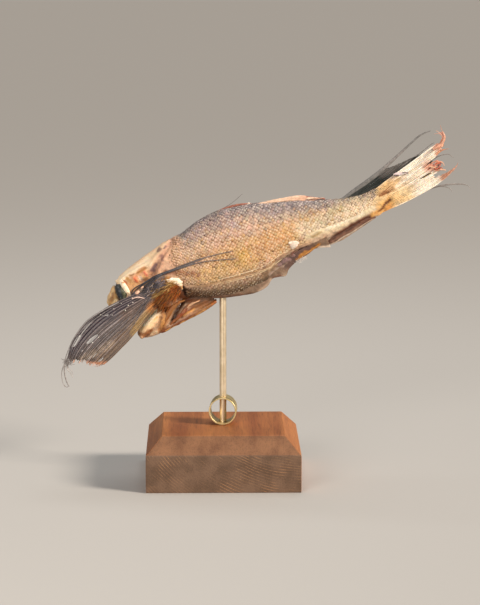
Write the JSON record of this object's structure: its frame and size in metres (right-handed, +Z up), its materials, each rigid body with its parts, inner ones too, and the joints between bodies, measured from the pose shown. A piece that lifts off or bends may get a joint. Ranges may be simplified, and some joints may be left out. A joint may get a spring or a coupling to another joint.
{
  "type": "smoked fish on a stand",
  "caption": "Whole gutted smoked fish with long dark fins, held at a slant on a brass rod and ring over a bevelled wooden block.",
  "frame": {"origin": "centre of the wooden block's underside", "axes": "+X from the fish's head towards its tail, +Y towards its right flank, +Z up along the brass rod"},
  "size_m": [0.2933, 0.104, 0.2542],
  "materials": {
    "smoked_fish": "satin, dry oily skin with scales",
    "wood_block": "oiled, open grained reddish hardwood",
    "brass_rod": "satin",
    "brass_ring": "satin, slightly tarnished"
  },
  "bodies": {
    "root": {"wood_block": "wood_block", "brass_rod": "brass_rod", "brass_ring": "brass_ring", "smoked_fish": "smoked_fish"}
  },
  "joints": []
}
